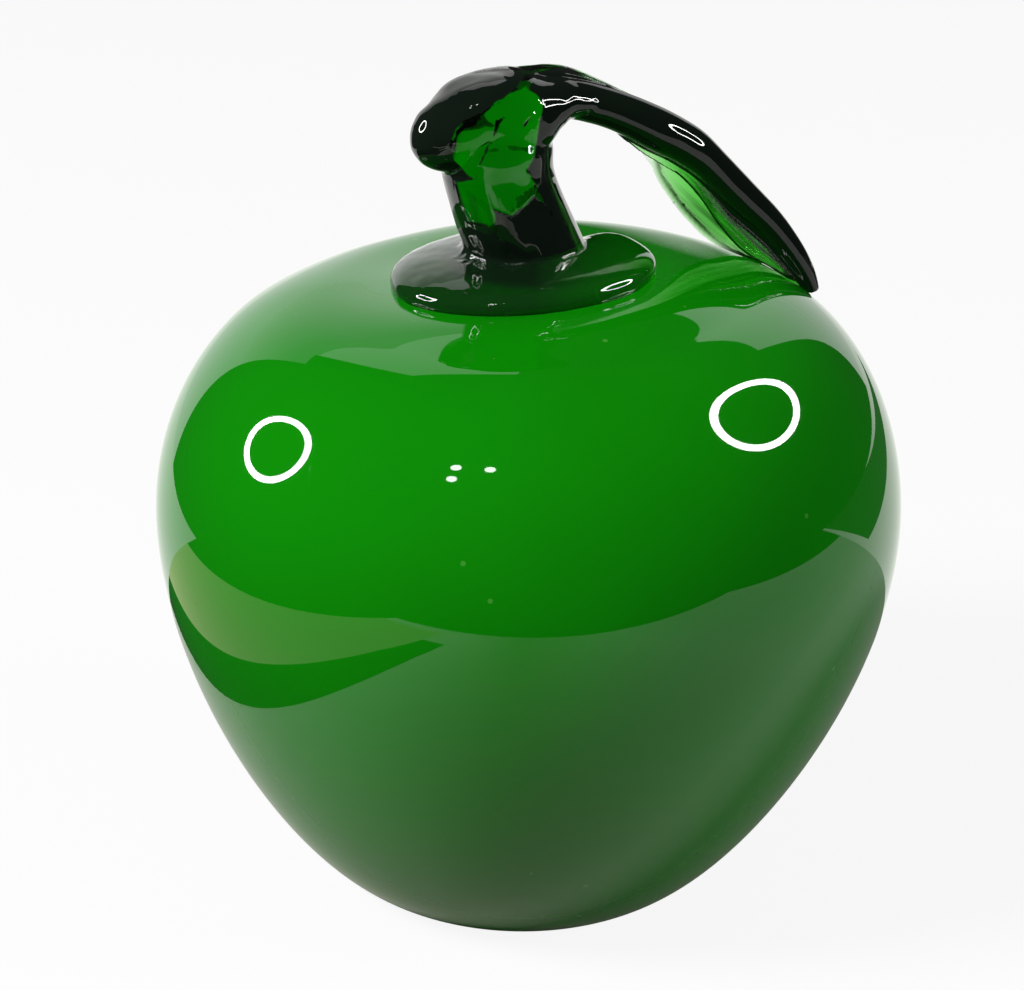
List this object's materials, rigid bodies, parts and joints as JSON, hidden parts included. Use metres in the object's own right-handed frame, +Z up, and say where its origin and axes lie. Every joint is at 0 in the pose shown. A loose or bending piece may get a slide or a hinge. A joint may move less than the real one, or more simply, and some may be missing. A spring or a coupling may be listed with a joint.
{
  "type": "art glass apple",
  "caption": "Hollow cased green glass apple with a pooled pad, a short leaning stem and a folded leaf that arches down to its shoulder; stands on a ground foot.",
  "frame": {"origin": "centre of the ground foot, on the surface it stands on", "axes": "+Z up along the body's axis, -Y to the front of the apple, the leaf towards +X and a little to +Y"},
  "size_m": [0.108, 0.108, 0.1241],
  "materials": {
    "green_casing": "fire-polished, glossy",
    "opal_lining": "opal, glossy",
    "dark_green_glass": "clear dark green, fire-polished"
  },
  "bodies": {
    "root": {"green_casing": "green_casing", "opal_lining": "opal_lining", "stem_pad": "dark_green_glass", "stem": "dark_green_glass", "leaf": "dark_green_glass"}
  },
  "joints": []
}
